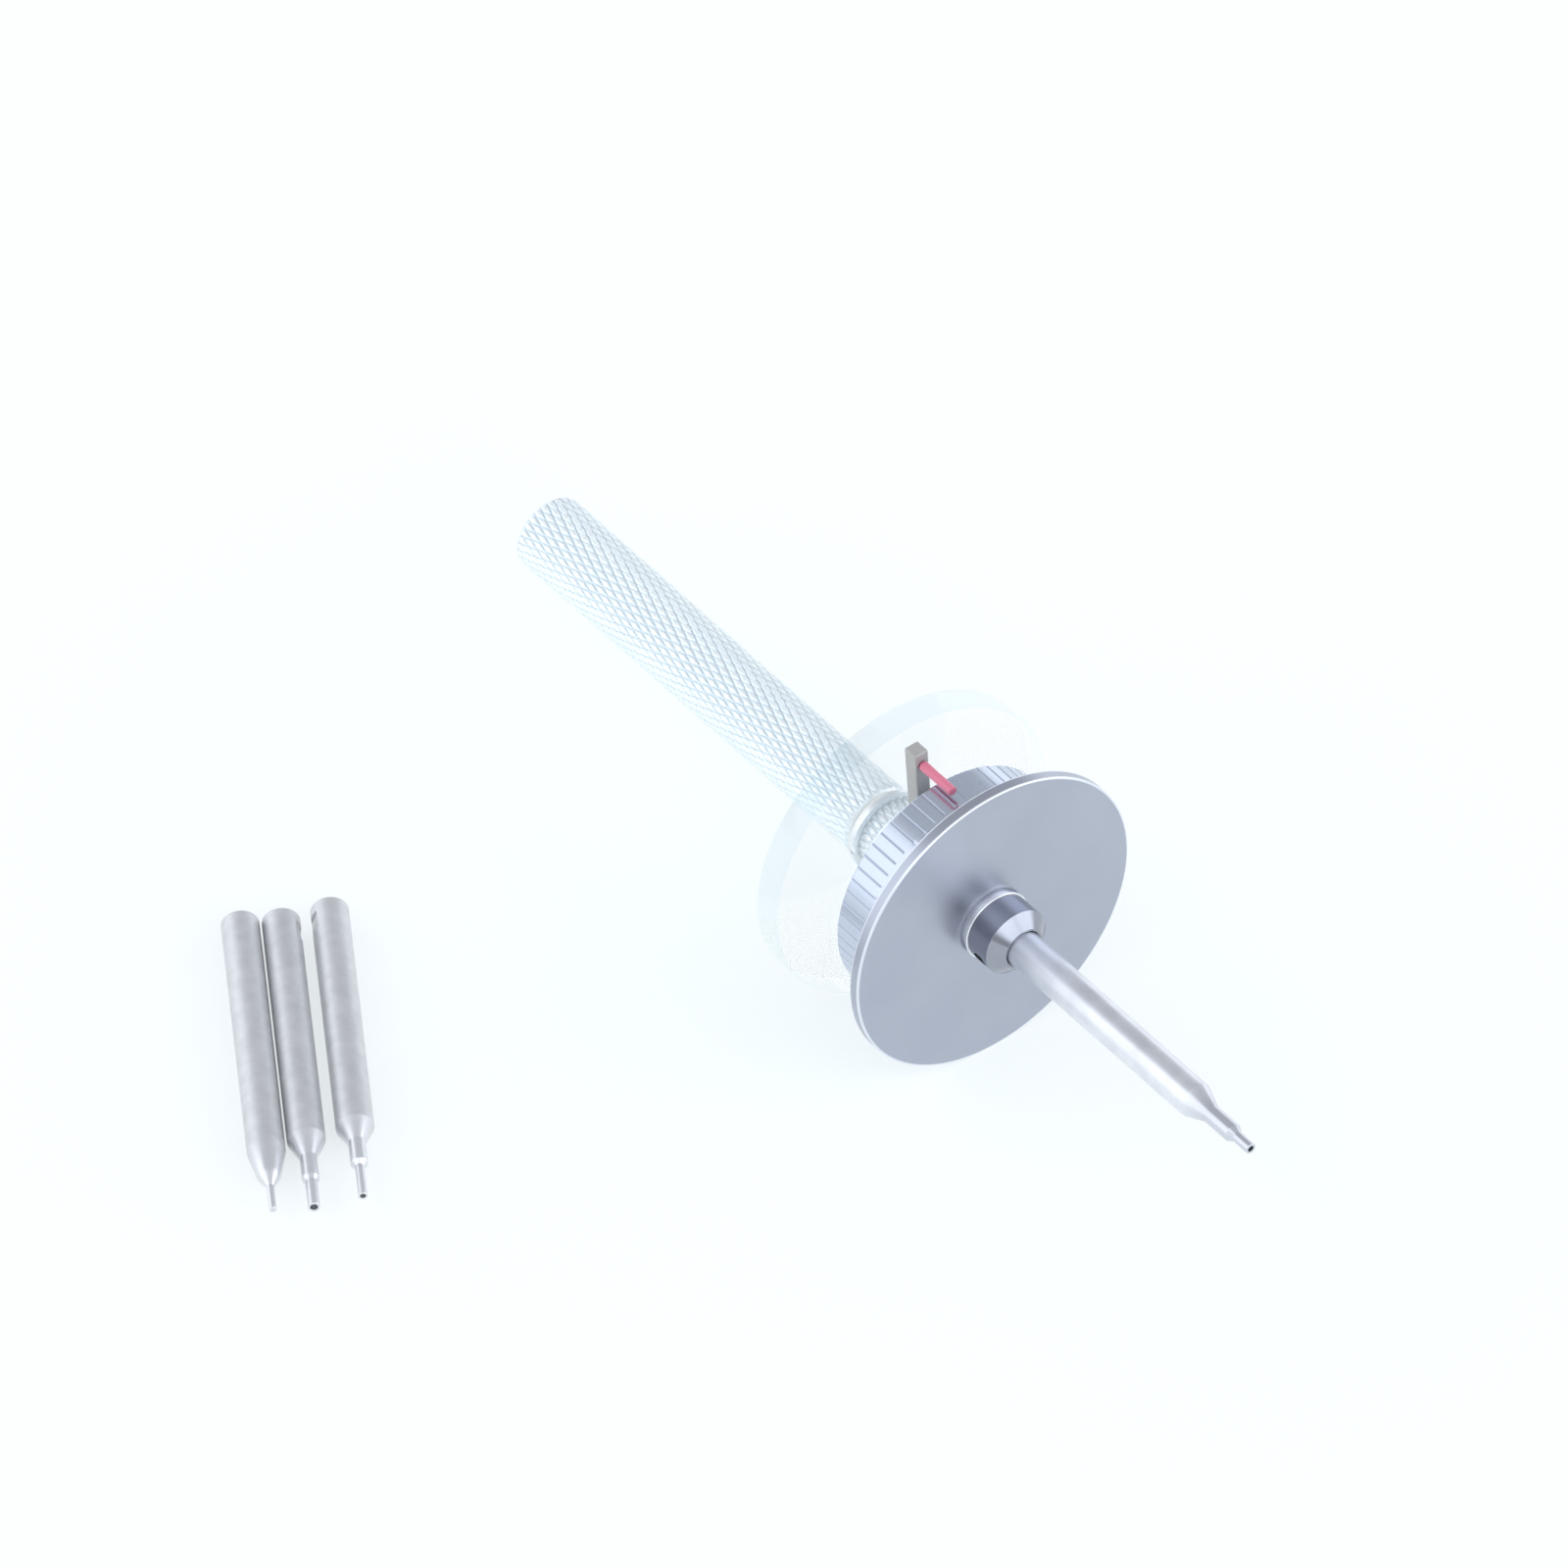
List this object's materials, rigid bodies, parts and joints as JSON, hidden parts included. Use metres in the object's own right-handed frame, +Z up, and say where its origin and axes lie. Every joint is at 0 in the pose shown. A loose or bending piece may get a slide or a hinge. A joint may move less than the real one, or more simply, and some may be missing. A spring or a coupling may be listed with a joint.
{
  "type": "graduated pin vise",
  "caption": "Knurled handle turns a graduated drum, flange and chuck nose holding a thin key bit; a clear finger disc carries a pointer over the drum; loose spare bits lie beside it.",
  "frame": {"origin": "middle of the footprint of the tool and its spare bits, on the table", "axes": "+X along the tool from the handle towards the tip of the bit, +Z up, spare bits on the -Y side"},
  "size_m": [0.1168, 0.0918, 0.0351],
  "materials": {
    "knurled_aluminium": "diamond knurled, bright",
    "satin_steel": "satin turned",
    "turned_steel": "fine turned",
    "polished_steel": "polished",
    "nickel_plated_brass": "turned, nickel plated",
    "white_ptfe": "skived sheet, matt",
    "blackened_steel": "black oxide",
    "clear_acrylic": "clear, polished",
    "drawn_steel": "drawn square bar, satin",
    "red_paint": "satin red paint",
    "ground_steel": "centreless ground"
  },
  "bodies": {
    "tool": {"handle": "knurled_aluminium", "spindle": "turned_steel", "graduated_drum": "satin_steel", "front_flange": "satin_steel", "nose": "polished_steel", "nose_washer": "polished_steel", "nose_set_screw_1": "blackened_steel", "nose_set_screw_2": "blackened_steel", "front_thrust_washer": "white_ptfe", "rear_thrust_washer": "white_ptfe"},
    "pointer_disc": {"finger_disc": "clear_acrylic", "disc_bush": "nickel_plated_brass", "disc_ring_nut": "turned_steel", "wave_washer": "turned_steel", "pointer_post": "drawn_steel", "pointer_arm": "red_paint"},
    "lock_screw": {"bit_lock_screw": "blackened_steel"},
    "bit": {"bit_installed": "ground_steel"},
    "spare_pin": {"spare_bit_pin": "ground_steel"},
    "spare_wide": {"spare_bit_wide": "ground_steel"},
    "spare_narrow": {"spare_bit_narrow": "ground_steel"}
  },
  "joints": [
    {"name": "disc_turn", "type": "hinge", "parent": "tool", "child": "pointer_disc", "pos_m": [0.0009, 0.02837, 0.01755], "axis": [1, 0, 0], "continuous": true},
    {"name": "lock_screw_turn", "type": "hinge", "parent": "tool", "child": "lock_screw", "pos_m": [0.01845, 0.02837, 0.01755], "axis": [0, -0.9272, -0.3746], "range_deg": [0, 540]},
    {"name": "bit_pull", "type": "slide", "parent": "tool", "child": "bit", "axis": [1, 0, 0], "range_m": [0, 0.012]},
    {"name": "spare_pin_lift", "type": "slide", "parent": "tool", "child": "spare_pin", "axis": [0, 0, 1], "range_m": [0, 0.03]},
    {"name": "spare_wide_lift", "type": "slide", "parent": "tool", "child": "spare_wide", "axis": [0, 0, 1], "range_m": [0, 0.03]},
    {"name": "spare_narrow_lift", "type": "slide", "parent": "tool", "child": "spare_narrow", "axis": [0, 0, 1], "range_m": [0, 0.03]}
  ]
}
